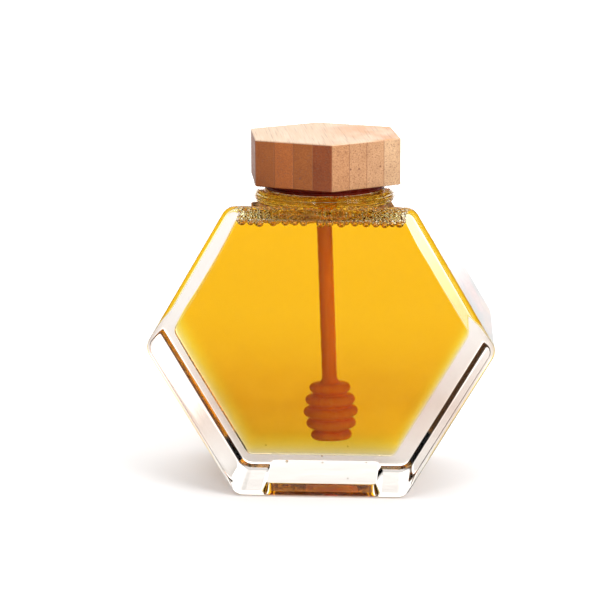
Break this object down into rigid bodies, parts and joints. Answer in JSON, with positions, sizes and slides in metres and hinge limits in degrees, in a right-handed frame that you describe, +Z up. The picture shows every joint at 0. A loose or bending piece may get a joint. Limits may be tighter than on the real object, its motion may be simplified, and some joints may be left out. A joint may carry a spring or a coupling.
{
  "type": "hexagonal honey jar",
  "caption": "Upright hexagonal jar of thick clear glass filled with golden honey, shut with a hexagonal wooden lid, with a turned wooden honey dipper inside.",
  "frame": {"origin": "on the surface that the jar stands on, under the middle of its foot", "axes": "+Z up; the flat hexagonal front looks along -Y; +X runs along the jar's width, to the right as seen from the front"},
  "size_m": [0.1142, 0.056, 0.118],
  "materials": {
    "clear_glass": "clear, polished, colourless",
    "honey": "clear golden amber liquid",
    "dipper_wood": "turned, soaked in honey",
    "seal": "dark, glossy",
    "lid_wood": "sanded, laminated staves, unvarnished"
  },
  "bodies": {
    "root": {"glass_jar": "clear_glass", "honey": "honey", "dipper": "dipper_wood", "seal_ring": "seal", "wood_lid": "lid_wood"}
  },
  "joints": []
}
